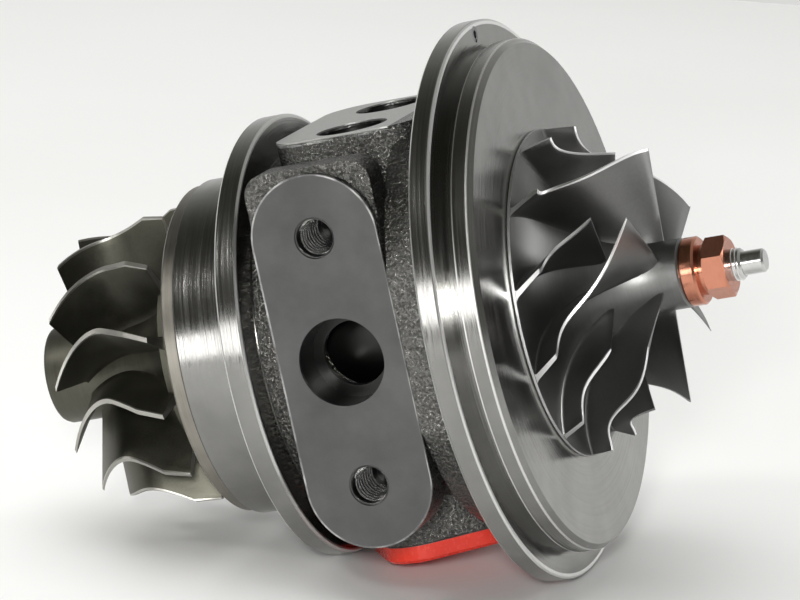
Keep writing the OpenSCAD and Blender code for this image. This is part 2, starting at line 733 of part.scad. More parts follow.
// A full-floating bush with oil holes and chamfered ends
module floating_bearing(x) {
    half = bearing_len / 2;
    inner = journal_r + journal_clear;
    color([0.78, 0.60, 0.32]) difference() {
        turned([
            [x - half, inner + edge], [x - half, bearing_r - edge], [x - half + edge, bearing_r],
            [x + half - edge, bearing_r], [x + half, bearing_r - edge], [x + half, inner + edge],
            [x + half - edge, inner], [x - half + edge, inner]]);
        for (a = [30:60:330])
            turn(a) translate([x, over - journal_r, 0])
                rotate([90, 0, 0]) cylinder(r = oil_hole_r, h = bearing_r);
    }
}
module turbine_bearing() floating_bearing(turbine_bearing_x);
module compressor_bearing() floating_bearing(compressor_bearing_x);

module rotor_shaft() {
    waist_0 = turbine_bearing_x + bearing_len / 2 + 2 * over;
    waist_1 = compressor_bearing_x - bearing_len / 2 - 2 * over;
    color([0.70, 0.70, 0.68]) turned(concat(
        [[weld_x, 0], [weld_x, turbine_hub_r]],
        ring_groove(turbine_ring_x, turbine_hub_r, turbine_bore_r),
        [[turbine_hub_x, turbine_hub_r], [turbine_hub_x, journal_r],
         [waist_0, journal_r], [waist_0 + edge, waist_r], [waist_1 - edge, waist_r], [waist_1, journal_r],
         [shoulder_x, journal_r], [shoulder_x, stub_r],
         [thread_end_x - edge, stub_r], [thread_end_x, stub_r - edge], [thread_end_x, tail_r],
         [tail_x - edge, tail_r], [tail_x, tail_r - edge], [tail_x, 0]]));
}

module thrust_ring() {
    color([0.66, 0.66, 0.64]) turned([
        [shoulder_x, stack_r], [shoulder_x, thrust_face_r - edge], [shoulder_x + edge, thrust_face_r],
        [thrust_x, thrust_face_r], [thrust_x, stack_r]]);
}

module flinger_sleeve() {
    color([0.64, 0.64, 0.62]) turned(concat(
        [[thrust_x, stack_r], [thrust_x, spacer_r], [deflector_x, spacer_r], [deflector_x, thrust_face_r],
         [collar_front_x, thrust_face_r], [collar_front_x, flinger_r], [flinger_front_x, flinger_r],
         [flinger_front_x, seal_hub_r]],
        ring_groove(compressor_ring_x, seal_hub_r, plate_bore_r),
        [[wheel_seat_x, seal_hub_r], [wheel_seat_x, stack_r]]));
}

module compressor_wheel() {
    hub_steps = 16;
    boss = seal_hub_r + over;
    pitch = 360 / full_blades;
    color([0.55, 0.55, 0.56]) {
        turned(concat(
            [[wheel_seat_x, stack_r], [wheel_seat_x, boss], [wheel_disc_x, boss], [wheel_disc_x, wheel_r]],
            [for (i = [0:hub_steps])
                meridian(blade_back_x, wheel_r, blade_front_x + over, wheel_nose_r, i / hub_steps)],
            [[wheel_front_x - edge, wheel_nose_r], [wheel_front_x, wheel_nose_r - edge],
             [wheel_front_x, stack_r]]));
        for (k = [0:full_blades - 1]) {
            turn(full_angle + k * pitch) wheel_blade(1, flow_steps);
            turn(full_angle + (k + 0.5) * pitch) wheel_blade(splitter_share, splitter_steps);
        }
    }
}

module lock_nut() {
    hex_r = nut_af / 2 / cos(30);
    color([0.70, 0.42, 0.32]) difference() {
        union() {
            turned([
                [wheel_front_x, 0], [wheel_front_x, nut_flange_r - edge],
                [wheel_front_x + edge, nut_flange_r], [nut_neck_x - edge, nut_flange_r],
                [nut_neck_x, nut_flange_r - edge], [nut_neck_x, nut_neck_r],
                [nut_hex_x, nut_neck_r], [nut_hex_x, 0]]);
            intersection() {
                translate([nut_hex_x, 0, 0]) rotate([0, 90, 0]) cylinder(r = hex_r, h = nut_hex_len, $fn = 6);
                turned([
                    [nut_hex_x, 0], [nut_hex_x, nut_af / 2], [nut_hex_x + edge, hex_r + slip],
                    [nut_front_x - edge, hex_r + slip], [nut_front_x, nut_af / 2], [nut_front_x, 0]]);
            }
        }
        bar(wheel_front_x - over, nut_front_x + over, stack_r);
    }
}

module turbine_wheel() {
    hub_steps = 14;
    color([0.36, 0.35, 0.32]) {
        turned(concat(
            [[weld_x, 0], [weld_x, turbine_hub_r], [turbine_back_x, turbine_hub_r],
             [turbine_back_x, turbine_disc_r]],
            [for (i = [0:hub_steps])
                meridian(turbine_back_x - turbine_disc_t, turbine_disc_r,
                         exducer_x - edge, boss_r, i / hub_steps)],
            [[boss_x + over, boss_r], [boss_x, boss_r - over], [boss_x, 0]]));
        for (k = [0:turbine_blades - 1])
            turn(turbine_angle + k * 360 / turbine_blades) turbine_blade();
    }
}

bearing_housing();
heat_shield();
locating_pin();
drain_cap();
turbine_ring_outer();
turbine_ring_inner();
compressor_ring_inner();
compressor_ring_outer();
thrust_bearing();
oil_deflector();
seal_plate();
seal_plate_o_ring();
seal_plate_snap_ring();
turbine_piston_ring();
compressor_piston_ring();
turbine_bearing();
compressor_bearing();
turbine_wheel();
rotor_shaft();
thrust_ring();
flinger_sleeve();
compressor_wheel();
lock_nut();
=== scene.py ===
import json
import math

import bpy
from mathutils import Matrix, Vector


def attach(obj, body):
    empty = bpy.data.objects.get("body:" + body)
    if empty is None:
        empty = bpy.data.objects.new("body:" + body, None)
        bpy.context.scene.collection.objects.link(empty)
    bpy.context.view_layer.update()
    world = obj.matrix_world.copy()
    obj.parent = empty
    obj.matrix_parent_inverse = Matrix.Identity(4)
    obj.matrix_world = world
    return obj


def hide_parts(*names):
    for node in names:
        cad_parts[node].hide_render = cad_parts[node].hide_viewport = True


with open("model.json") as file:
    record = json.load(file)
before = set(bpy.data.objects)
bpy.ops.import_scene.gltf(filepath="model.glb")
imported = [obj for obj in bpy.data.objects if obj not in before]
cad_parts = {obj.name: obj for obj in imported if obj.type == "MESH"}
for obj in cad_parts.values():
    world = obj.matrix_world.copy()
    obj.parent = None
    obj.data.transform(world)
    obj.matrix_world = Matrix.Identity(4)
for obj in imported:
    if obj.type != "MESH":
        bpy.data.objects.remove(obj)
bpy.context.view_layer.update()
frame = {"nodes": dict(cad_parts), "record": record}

nodes = frame["nodes"]
MM = 0.001
scene = bpy.context.scene

# Camera at the photograph's viewing angle
CAMERA_AT = Vector((0.3075, -0.9101, 0.1468))
CAMERA_VIEW = Vector((-0.33973, 0.92909, -0.14618))
CAMERA_UP = Vector((0.15301, 0.20795, 0.96610))
CAMERA_LENS = 238.18
SENSOR_WIDTH = 36.0
CLIP_START = 0.01


def make_camera():
    data = bpy.data.cameras.new("camera")
    data.lens = CAMERA_LENS
    data.sensor_width = SENSOR_WIDTH
    data.sensor_fit = "HORIZONTAL"
    data.clip_start = CLIP_START
    back = -CAMERA_VIEW.normalized()
    right = CAMERA_UP.cross(back).normalized()
    up = back.cross(right)
    camera = bpy.data.objects.new("camera", data)
    turn = Matrix((right, up, back)).transposed().to_4x4()
    camera.matrix_world = Matrix.Translation(CAMERA_AT) @ turn
    scene.collection.objects.link(camera)
    scene.camera = camera


# Node helpers
def value_into(tree, socket, value):
    if isinstance(value, bpy.types.NodeSocket):
        tree.links.new(value, socket)
    else:
        socket.default_value = value


def calc(tree, operation, a, b=0.0, clamp=False):
    made = tree.nodes.new("ShaderNodeMath")
    made.operation = operation
    made.use_clamp = clamp
    value_into(tree, made.inputs[0], a)
    value_into(tree, made.inputs[1], b)
    return made.outputs[0]


def span(tree, value, low, high, to_low=0.0, to_high=1.0):
    made = tree.nodes.new("ShaderNodeMapRange")
    made.clamp = True
    value_into(tree, made.inputs["Value"], value)
    made.inputs["From Min"].default_value = low
    made.inputs["From Max"].default_value = high
    made.inputs["To Min"].default_value = to_low
    made.inputs["To Max"].default_value = to_high
    return made.outputs["Result"]


def blend_colours(tree, factor, first, second):
    made = tree.nodes.new("ShaderNodeMix")
    made.data_type = "RGBA"
    value_into(tree, made.inputs["Factor"], factor)
    value_into(tree, made.inputs[6], first)
    value_into(tree, made.inputs[7], second)
    return made.outputs[2]


def noise(tree, vector, scale, detail=3.0, roughness=0.55):
    made = tree.nodes.new("ShaderNodeTexNoise")
    made.inputs["Scale"].default_value = scale
    made.inputs["Detail"].default_value = detail
    made.inputs["Roughness"].default_value = roughness
    tree.links.new(vector, made.inputs["Vector"])
    return made.outputs["Fac"]


def bump(tree, height, distance, strength=1.0, under=None):
    made = tree.nodes.new("ShaderNodeBump")
    made.inputs["Strength"].default_value = strength
    made.inputs["Distance"].default_value = distance
    tree.links.new(height, made.inputs["Height"])
    if under is not None:
        tree.links.new(under, made.inputs["Normal"])
    return made.outputs["Normal"]


def new_material(name, metallic):
    material = bpy.data.materials.new(name)
    material.use_nodes = True
    tree = material.node_tree
    shader = tree.nodes["Principled BSDF"]
    shader.inputs["Metallic"].default_value = metallic
    place = tree.nodes.new("ShaderNodeTexCoord").outputs["Object"]
    return material, tree, shader, place


# Shares of a noise between which a tone runs, and how slowly ring lines change about the shaft
TONE_LOW = 0.3
TONE_HIGH = 0.7
AROUND_SCALE = 0.0006


def toned(tree, value, dark, light):
    return blend_colours(tree, span(tree, value, TONE_LOW, TONE_HIGH), dark, light)


def ranged(tree, value, limits):
    return span(tree, value, TONE_LOW, TONE_HIGH, limits[0], limits[1])


def distance(tree, a, b):
    squares = calc(tree, "ADD", calc(tree, "MULTIPLY", a, a), calc(tree, "MULTIPLY", b, b))
    return calc(tree, "SQRT", squares)


# Coordinates along and about the shaft, and a vector in which noise runs in rings
def shaft_space(tree, place):
    split = tree.nodes.new("ShaderNodeSeparateXYZ")
    tree.links.new(place, split.inputs[0])
    x, y, z = split.outputs
    r = distance(tree, y, z)
    around = calc(tree, "ARCTAN2", z, y)
    rings = tree.nodes.new("ShaderNodeCombineXYZ")
    tree.links.new(x, rings.inputs[0])
    tree.links.new(r, rings.inputs[1])
    tree.links.new(calc(tree, "MULTIPLY", around, AROUND_SCALE), rings.inputs[2])
    return x, y, z, r, rings.outputs[0]


# A metal: two colours clouded together, lathe rings and a fine grain, both in mm deep
RING_SCALE = 2600.0
GRAIN_SCALE = 2400.0


def metal(name, dark, light, rough, rings=0.0, grain=0.0, cloud_scale=90.0, line_tone=0.35):
    material, tree, shader, place = new_material(name, 1.0)
    ring_space = shaft_space(tree, place)[-1]
    clouds = noise(tree, place, cloud_scale, 4.0, 0.6)
    lines = noise(tree, ring_space, RING_SCALE, 2.0, 0.6)
    specks = noise(tree, place, GRAIN_SCALE, 2.0, 0.6)
    cloud_part = calc(tree, "MULTIPLY", clouds, 1 - line_tone)
    tone = calc(tree, "ADD", cloud_part, calc(tree, "MULTIPLY", lines, line_tone))
    tree.links.new(toned(tree, tone, dark, light), shader.inputs["Base Color"])
    tree.links.new(ranged(tree, tone, rough), shader.inputs["Roughness"])
    normal = bump(tree, lines, rings * MM)
    normal = bump(tree, specks, grain * MM, 1.0, normal)
    tree.links.new(normal, shader.inputs["Normal"])
    return material


# The casting: as-cast skin, turned ends, milled pads, with a painted highlight along pad and step edges, a
# painted reflection on the top pad and painted shade in the bores
TURNED_FRONT_X = -0.0056
TURNED_REAR_X = -0.0413
NECK_X = -0.0133
PAD_Y = 0.0366
TOP_Z = 0.0380
DRAIN_Z = -0.0393
BORE_R = 0.0190
EDGE_BAND = 0.0005
PAD_HALF_W = 0.0120
PAD_STRAIGHT = 0.0225
OUTLINE = 0.0003
EDGE_ROUGH = 0.42
BORED_ROUGH = 0.30
# Bands at the turned steps, as x from, x to and least radius, that get a painted highlight
TURNED_EDGE_HIGHLIGHTS = (
    (-0.0039, -0.0035, 0.0510), (-0.0003, 0.0001, 0.0510), (0.0024, 0.0027, 0.0465),
    (0.0051, 0.0055, 0.0465), (-0.0459, -0.0454, 0.0405), (-0.0419, -0.0414, 0.0405))
PAD_X = -0.0252
PORT_R = 0.0083
BOLT_Z = 0.0229
BOLT_R = 0.0037
TOP_PORT_X = -0.0230
TOP_PORT_Y = 0.0115
TOP_PORT_R = 0.0069
TOP_PORT_FLOOR = 0.0200
MASK_SOFT = 0.00008
# Noise that breaks up the painted edge highlight, and its range
HIGHLIGHT_BREAKUP_SCALE = 160.0
HIGHLIGHT_BREAKUP_FROM = (0.42, 0.6)
HIGHLIGHT_BREAKUP_TO = (0.08, 0.6)
CLOUD_SCALE = 70.0
LATHE_SCALE = 2400.0
LUMP_SCALE = 1700.0
MILL_SCALE = 2600.0
CAST_TONES = ((0.045, 0.045, 0.043, 1), (0.19, 0.187, 0.178, 1))
TURNED_TONES = ((0.215, 0.214, 0.205, 1), (0.30, 0.298, 0.287, 1))
MILLED_TONES = ((0.085, 0.085, 0.085, 1), (0.12, 0.12, 0.12, 1))
# Colour of the painted reflection that lightens the top pad
TOP_REFLECTION_TONE = (0.46, 0.46, 0.45, 1)
# Colour of the painted highlight along pad edges and turned steps
EDGE_HIGHLIGHT_TONE = (0.72, 0.72, 0.71, 1)
# Near-black painted shade inside the ports and bolt holes
BORE_SHADE_TONE = (0.038, 0.038, 0.037, 1)
CAST_ROUGH = (0.40, 0.17)
TURNED_ROUGH = (0.14, 0.26)
MILLED_ROUGH = (0.30, 0.40)
CAST_DEPTH = 0.5
LATHE_DEPTH = 0.03
MILL_DEPTH = 0.02


def housing_material():
    material, tree, shader, place = new_material("housing_iron", 1.0)
    x, y, z, r, ring_space = shaft_space(tree, place)

    def above(value, limit):
        return span(tree, value, limit - MASK_SOFT, limit + MASK_SOFT)

    def below(value, limit):
        return span(tree, value, limit - MASK_SOFT, limit + MASK_SOFT, 1.0, 0.0)

    def both(a, b):
        return calc(tree, "MULTIPLY", a, b)

    def either(a, b):
        return calc(tree, "MAXIMUM", a, b)

    highlight_breakup = noise(tree, place, HIGHLIGHT_BREAKUP_SCALE, 3.0, 0.6)
    turned = either(above(x, TURNED_FRONT_X), below(x, TURNED_REAR_X))
    turned = either(turned, below(r, BORE_R))
    side = calc(tree, "ABSOLUTE", y)
    core = both(below(x, NECK_X), above(x, TURNED_REAR_X))
    # The top pad is painted lighter: a painted reflection of the bright room
    top = both(above(z, TOP_Z), core)
    milled = either(above(side, PAD_Y), above(z, TOP_Z))
    milled = both(either(milled, below(z, DRAIN_Z)), core)

    # Painted highlight: a thin light band under the milled faces, along the pad outlines and at the turned
    # steps, broken up by noise
    edge = either(above(side, PAD_Y - EDGE_BAND), above(z, TOP_Z - EDGE_BAND))
    edge = calc(tree, "SUBTRACT", both(edge, core), milled, True)
    height = calc(tree, "ABSOLUTE", z)
    from_pad = calc(tree, "SUBTRACT", x, PAD_X)
    beyond = either(calc(tree, "SUBTRACT", height, PAD_STRAIGHT), 0.0)
    outline = above(distance(tree, from_pad, beyond), PAD_HALF_W - OUTLINE)
    edge = either(edge, both(both(outline, above(side, PAD_Y)), core))
    edge = both(edge, span(tree, highlight_breakup, *HIGHLIGHT_BREAKUP_FROM, *HIGHLIGHT_BREAKUP_TO))
    for low, high, reach in TURNED_EDGE_HIGHLIGHTS:
        edge = either(edge, both(both(above(x, low), below(x, high)), above(r, reach)))

    from_bolt = calc(tree, "SUBTRACT", height, BOLT_Z)
    from_top_x = calc(tree, "SUBTRACT", x, TOP_PORT_X)
    from_top_y = calc(tree, "SUBTRACT", side, TOP_PORT_Y)
    # The bores keep a machined roughness; their near-black colour is painted shade
    bored = below(distance(tree, from_pad, z), PORT_R)
    bored = either(bored, below(distance(tree, from_pad, from_bolt), BOLT_R))
    top_bored = below(distance(tree, from_top_x, from_top_y), TOP_PORT_R)
    bored = either(bored, both(top_bored, above(z, TOP_PORT_FLOOR)))
    bored = calc(tree, "SUBTRACT", bored, either(milled, edge), True)

    clouds = noise(tree, place, CLOUD_SCALE, 4.0, 0.6)
    lines = noise(tree, ring_space, LATHE_SCALE, 2.0, 0.6)
    lumps = noise(tree, place, LUMP_SCALE, 3.0, 0.6)
    specks = noise(tree, place, MILL_SCALE, 2.0, 0.6)

    tone = blend_colours(tree, turned, toned(tree, lumps, *CAST_TONES), toned(tree, clouds, *TURNED_TONES))
    tone = blend_colours(tree, milled, tone, toned(tree, clouds, *MILLED_TONES))
    tone = blend_colours(tree, top, tone, TOP_REFLECTION_TONE)
    tone = blend_colours(tree, edge, tone, EDGE_HIGHLIGHT_TONE)
    tone = blend_colours(tree, bored, tone, BORE_SHADE_TONE)
    tree.links.new(tone, shader.inputs["Base Color"])

    def pick(factor, first, second):
        keep = both(first, calc(tree, "SUBTRACT", 1.0, factor))
        return calc(tree, "ADD", keep, both(second, factor))

    rough = pick(turned, ranged(tree, lumps, CAST_ROUGH), ranged(tree, lines, TURNED_ROUGH))
    rough = pick(milled, rough, ranged(tree, specks, MILLED_ROUGH))
    rough = pick(edge, rough, EDGE_ROUGH)
    rough = pick(bored, rough, BORED_ROUGH)
    tree.links.new(rough, shader.inputs["Roughness"])

    machined = calc(tree, "MAXIMUM", either(turned, bored), milled, True)
    cast = calc(tree, "SUBTRACT", 1.0, machined)
    normal = bump(tree, both(lumps, cast), CAST_DEPTH * MM)
    normal = bump(tree, both(lines, turned), LATHE_DEPTH * MM, 1.0, normal)
    normal = bump(tree, both(specks, milled), MILL_DEPTH * MM, 1.0, normal)
    tree.links.new(normal, shader.inputs["Normal"])
    return material


# A plastic or rubber: two colours clouded together and a fine grain in mm
PLASTIC_CLOUDS = 120.0
PLASTIC_GRAIN = 1500.0


def plastic(name, dark, light, rough, grain):
    material, tree, shader, place = new_material(name, 0.0)
    clouds = noise(tree, place, PLASTIC_CLOUDS, 3.0)
    specks = noise(tree, place, PLASTIC_GRAIN, 3.0)
    tree.links.new(toned(tree, clouds, dark, light), shader.inputs["Base Color"])
    tree.links.new(ranged(tree, specks, rough), shader.inputs["Roughness"])
    tree.links.new(bump(tree, specks, grain * MM), shader.inputs["Normal"])
    return material


# Dark and light colour, roughness, rings and grain, then cloud scale and share of the ring lines
METALS = {
    "shield_steel": ((0.20, 0.19, 0.17, 1), (0.34, 0.32, 0.28, 1), (0.30, 0.48), 0.010, 0.008),
    "spring_steel": ((0.14, 0.14, 0.15, 1), (0.24, 0.24, 0.25, 1), (0.28, 0.40), 0.004, 0.006),
    "bronze": ((0.55, 0.36, 0.15, 1), (0.70, 0.50, 0.24, 1), (0.22, 0.34), 0.010, 0.004),
    "plate_aluminium": ((0.50, 0.50, 0.50, 1), (0.62, 0.62, 0.61, 1), (0.26, 0.40), 0.012, 0.004),
    "ring_iron": ((0.20, 0.20, 0.20, 1), (0.32, 0.32, 0.31, 1), (0.28, 0.40), 0.008, 0.004),
    "turbine_alloy": ((0.085, 0.083, 0.066, 1), (0.135, 0.132, 0.108, 1), (0.42, 0.56), 0.0, 0.02, 160.0),
    # Light copy of the turbine alloy: a painted highlight on the blade tips and edges
    "turbine_edge_highlight": ((0.36, 0.355, 0.325, 1), (0.50, 0.49, 0.455, 1), (0.34, 0.44), 0.0, 0.004, 90.0, 0.0),
    "shaft_steel": ((0.52, 0.52, 0.51, 1), (0.66, 0.66, 0.65, 1), (0.14, 0.24), 0.008),
    "wheel_aluminium": ((0.165, 0.165, 0.162, 1), (0.215, 0.215, 0.211, 1), (0.38, 0.46)),
    # Light copy of the wheel aluminium: a painted highlight on the blade tips and edges and the disc rim
    "wheel_edge_highlight": ((0.88, 0.88, 0.88, 1), (0.96, 0.96, 0.96, 1), (0.36, 0.46), 0.0, 0.0, 90.0, 0.0),
    # Bare thread metal lightened past its own colour: partly its own colour, partly a painted highlight
    "thread_metal_and_glint": ((0.66, 0.66, 0.65, 1), (0.80, 0.80, 0.79, 1), (0.20, 0.30), 0.0, 0.0, 90.0, 0.0),
    "copper_nut": ((0.42, 0.155, 0.095, 1), (0.62, 0.27, 0.18, 1), (0.12, 0.24), 0.006, 0.004),
}
PLASTICS = {
    "red_plastic": ((0.60, 0.022, 0.010, 1), (0.72, 0.036, 0.016, 1), (0.20, 0.30), 0.006),
    "black_rubber": ((0.010, 0.010, 0.010, 1), (0.022, 0.022, 0.022, 1), (0.5, 0.65), 0.01),
}
materials = {name: metal(name, *values) for name, values in METALS.items()}
materials.update({name: plastic(name, *values) for name, values in PLASTICS.items()})
materials["housing_iron"] = housing_material()

for entry in frame["record"]["subparts"]:
    mesh = nodes[entry["node"]].data
    mesh.materials.clear()
    mesh.materials.append(materials[entry["material_slot"]])


# Meshes about the shaft
SHARP_ANGLE = 35.0


def about_shaft(x, r, a):
    return (x * MM, -r * math.cos(a) * MM, r * math.sin(a) * MM)


# The faces listed in edges take the second material, a painted highlight
def new_piece(name, points, faces, body, finish, edge_highlight_material=None, edges=()):
    mesh = bpy.data.meshes.new(name)
    mesh.from_pydata(points, [], faces)
    mesh.materials.append(materials[finish])
    if edge_highlight_material:
        mesh.materials.append(materials[edge_highlight_material])
    for face in edges:
        mesh.polygons[face].material_index = 1
    mesh.shade_smooth()
    mesh.set_sharp_from_angle(angle=math.radians(SHARP_ANGLE))
    piece = bpy.data.objects.new(name, mesh)
    scene.collection.objects.link(piece)
    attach(piece, body)
    return piece


# A turned body; returns the faces that lie between two points of its profile, for a painted highlight
def lathe(points, faces, profile, steps, bright_from=0, bright_to=0):
    start = len(points)
    bright = []
    count = len(profile)
    for i in range(steps):
        angle = 2 * math.pi * i / steps
        points.extend(about_shaft(x, r, angle) for x, r in profile)
    for i in range(steps):
        here = start + i * count
        there = start + (i + 1) % steps * count
        for j in range(count):
            k = (j + 1) % count
            if bright_from <= j < bright_to:
                bright.append(len(faces))
            faces.append((here + j, here + k, there + k, there + j))
    return bright


# A closed blade; returns the faces of its tip and of its first edge, for a painted highlight
def blade(points, faces, rows, cols, place, flip):
    start = len(points)
    bright = []
    width = cols + 1
    side_size = (rows + 1) * width
    for side in (-1, 1):
        for i in range(rows + 1):
            points.extend(place(i / rows, j, side) for j in range(width))

    def at(side, i, j):
        return start + side * side_size + i * width + j

    def quad(a, b, c, d, is_bright=False):
        if is_bright:
            bright.append(len(faces))
        faces.append((a, d, c, b) if flip else (a, b, c, d))

    for i in range(rows):
        for j in range(cols):
            last = j == cols - 1
            quad(at(0, i, j), at(0, i + 1, j), at(0, i + 1, j + 1), at(0, i, j + 1), last)
            quad(at(1, i, j), at(1, i, j + 1), at(1, i + 1, j + 1), at(1, i + 1, j), last)
        quad(at(0, i, 0), at(1, i, 0), at(1, i + 1, 0), at(0, i + 1, 0))
        quad(at(0, i, cols), at(0, i + 1, cols), at(1, i + 1, cols), at(1, i, cols), True)
    for j in range(cols):
        quad(at(0, 0, j), at(0, 0, j + 1), at(1, 0, j + 1), at(1, 0, j), True)
        quad(at(0, rows, j), at(1, rows, j), at(1, rows, j + 1), at(0, rows, j + 1))
    return bright


def mix(a, b, t):
    return a + (b - a) * t


def meridian(x0, r0, x1, r1, s):
    turn = math.pi / 2 * s
    return mix(x0, x1, 1 - math.cos(turn)), mix(r0, r1, math.sin(turn))


# Shares of the blade's height at which its faces are sampled, closer near the hub and the tip
SPAN = (0.0, 0.03, 0.06, 0.1, 0.15, 0.22, 0.32, 0.45, 0.6, 0.75, 0.88, 0.975, 1.0)
FLOW_STEPS = 44
SPLITTER_STEPS = 32
HUB_STEPS = 48
TURN_STEPS = 192
ROOT_SINK = 0.6
ROOT_FILLET = 1.5
FILLET_SHARE = 0.14
TIP_CHAMFER = 0.2


# Blade thickness: a fillet at the hub and a narrow chamfer at the tip
def thickness(v, root, tip):
    fillet = ROOT_FILLET * max(0.0, 1 - v / FILLET_SHARE) ** 2
    chamfer = TIP_CHAMFER if v == 1.0 else 0.0
    return mix(root, tip, v) + fillet - chamfer


# Compressor wheel
WHEEL_SEAT_X = 6.3
WHEEL_DISC_X = 6.46
WHEEL_BOSS_R = 8.5
WHEEL_R = 30.3
BLADE_BACK_X = 7.1
BLADE_FRONT_X = 26.7
WHEEL_FRONT_X = 30.3
WHEEL_NOSE_R = 6.4
INLET_R = 23.4
OUTLET_W = 5.0
RIM_T = 0.4
WHEEL_BORE_R = 2.92
WHEEL_ROOT_T = 1.3
WHEEL_TIP_T = 0.9
WHEEL_RAKE = 7.6
FULL_BLADES = 6
FULL_ANGLE = 47.9
SPLITTER_SHARE = 0.7
EDGE = 0.4
RIM_INSET = 0.2
LEADING_EDGE = 0.05
LEADING_THIN = 0.65
# Profile points between which the disc rim gets the painted highlight
RIM_FIRST = 3
RIM_LAST = 5
SWEEP = (30.9, 4.8, -47.2, 61.9)
FLOW_EASE = 1.3
HUB_OVER = 1.0


def wheel_sweep(s):
    return math.radians(sum(part * s ** (i + 1) for i, part in enumerate(SWEEP)))


def wheel_tip(s):
    turn = math.pi / 2 * s
    return (mix(BLADE_BACK_X + OUTLET_W, BLADE_FRONT_X, 1 - math.cos(turn)),
            mix(WHEEL_R - RIM_INSET, INLET_R, math.sqrt(math.sin(turn))))


def wheel_place(share, angle):
    def place(s, j, side):
        s = share * s ** FLOW_EASE
        v = SPAN[j]
        root = meridian(BLADE_BACK_X - RIM_T / 2, WHEEL_R - RIM_INSET,
                        BLADE_FRONT_X, WHEEL_NOSE_R - ROOT_SINK, s)
        tip = wheel_tip(s)
        x = mix(root[0], tip[0], v)
        r = mix(root[1], tip[1], v)
        lean = math.radians(WHEEL_RAKE) * (1 - v) * (1 - s) ** 2
        thick = thickness(v, WHEEL_ROOT_T, WHEEL_TIP_T)
        into_edge = max(0.0, s - share + LEADING_EDGE) / LEADING_EDGE
        thick *= 1 - LEADING_THIN * into_edge ** 2
        return about_shaft(x, r, angle + wheel_sweep(s) - lean + side * thick / r / 2)
    return place


def compressor_wheel():
    points, faces, edges = [], [], []
    profile = [
        (WHEEL_SEAT_X, WHEEL_BORE_R), (WHEEL_SEAT_X, WHEEL_BOSS_R),
        (WHEEL_DISC_X, WHEEL_BOSS_R + EDGE), (WHEEL_DISC_X, WHEEL_R - EDGE / 2),
        (WHEEL_DISC_X + EDGE / 2, WHEEL_R)]
    profile += [meridian(BLADE_BACK_X, WHEEL_R, BLADE_FRONT_X + HUB_OVER, WHEEL_NOSE_R, i / HUB_STEPS)
                for i in range(HUB_STEPS + 1)]
    profile += [(WHEEL_FRONT_X - EDGE, WHEEL_NOSE_R), (WHEEL_FRONT_X, WHEEL_NOSE_R - EDGE),
                (WHEEL_FRONT_X, WHEEL_BORE_R)]
    edges += lathe(points, faces, profile, TURN_STEPS, RIM_FIRST, RIM_LAST)
    pitch = 2 * math.pi / FULL_BLADES
    for k in range(FULL_BLADES):
        angle = math.radians(FULL_ANGLE) + k * pitch
        edges += blade(points, faces, FLOW_STEPS, len(SPAN) - 1, wheel_place(1.0, angle), True)
        splitter = wheel_place(SPLITTER_SHARE, angle + pitch / 2)
        edges += blade(points, faces, SPLITTER_STEPS, len(SPAN) - 1, splitter, True)
    wheel = new_piece("compressor_wheel_fine", points, faces, "rotor", "wheel_aluminium",
                      "wheel_edge_highlight", edges)
    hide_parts("compressor_wheel")


# Turbine wheel
WELD_X = -63.0
TURBINE_BACK_X = -65.0
TURBINE_HUB_R = 8.0
TURBINE_R = 28.0
EXDUCER_R = 24.7
TURBINE_LEN = 21.2
INDUCER_W = 5.0
TURBINE_DISC_R = 20.0
TURBINE_DISC_T = 1.4
TURBINE_BOSS_R = 9.3
TURBINE_BOSS_LEN = 8.8
TURBINE_BLADES = 12
TURBINE_ANGLE = 16.5
TURBINE_ROOT_T = 2.0
TURBINE_TIP_T = 1.1
BLADE_START = 0.3
WRAP_RATE = 0.8
WRAP_CURVE = 0.24
WRAP_FROM = 10.0
CENTRE_R = 0.05
BOSS_EDGE = 1.0
BOSS_ROUND = 0.3


def turbine_wrap(d):
    return math.radians(WRAP_RATE * d - WRAP_CURVE * max(0.0, d - WRAP_FROM) ** 2)


def turbine_hub(d):
    left = 1 - max(0.0, d - TURBINE_DISC_T) / (TURBINE_LEN - TURBINE_DISC_T)
    return mix(TURBINE_DISC_R, TURBINE_BOSS_R, math.sqrt(max(0.0, 1 - left * left)))


def turbine_tip(d):
    share = min(1.0, max(0.0, (d - INDUCER_W) / (TURBINE_LEN / 2)))
    return mix(TURBINE_R, EXDUCER_R, math.sin(math.pi / 2 * share))


def turbine_place(angle):
    def place(s, j, side):
        v = SPAN[j]
        d = mix(BLADE_START, TURBINE_LEN, s)
        r = mix(turbine_hub(d) - ROOT_SINK, turbine_tip(d), v)
        thick = thickness(v, TURBINE_ROOT_T, TURBINE_TIP_T)
        return about_shaft(TURBINE_BACK_X - d, r, angle + turbine_wrap(d) + side * thick / r / 2)
    return place


